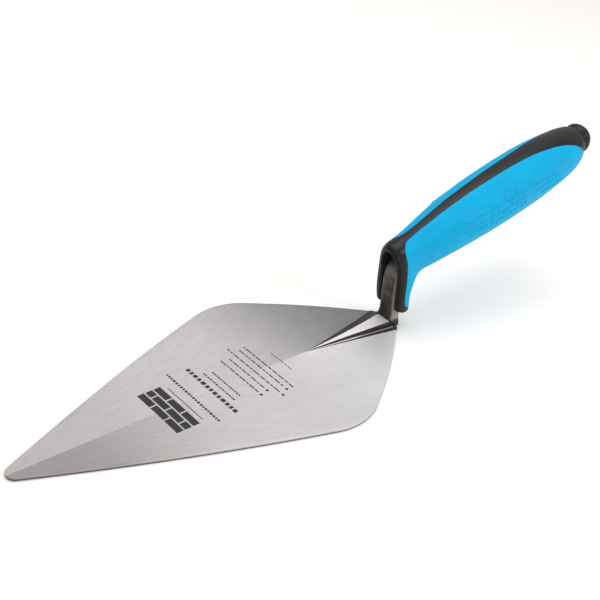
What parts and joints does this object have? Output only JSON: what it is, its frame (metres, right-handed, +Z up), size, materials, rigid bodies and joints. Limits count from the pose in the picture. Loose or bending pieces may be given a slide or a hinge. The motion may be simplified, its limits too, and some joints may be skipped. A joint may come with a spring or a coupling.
{
  "type": "brick trowel",
  "caption": "Pointed masonry trowel: kite-shaped ground blade, cranked forged shank and tang, soft two-material handle with a finger guard and butt cap.",
  "frame": {"origin": "under the middle of the tool's length, on the plane of the blade's underside", "axes": "+Y from the blade's point towards the handle's butt, +Z up from the blade, +X to the right seen from the point"},
  "size_m": [0.1296, 0.4402, 0.1069],
  "materials": {
    "forged_steel": "taper-ground and brushed blade, dark forged shank",
    "hard_black_plastic": "fine satin moulding texture",
    "cured_adhesive": "hidden inside the handle",
    "soft_blue_rubber": "soft satin"
  },
  "bodies": {
    "root": {"blade_forging": "forged_steel", "handle_core": "hard_black_plastic", "tang_adhesive": "cured_adhesive", "soft_grip": "soft_blue_rubber", "end_cap": "hard_black_plastic"}
  },
  "joints": []
}
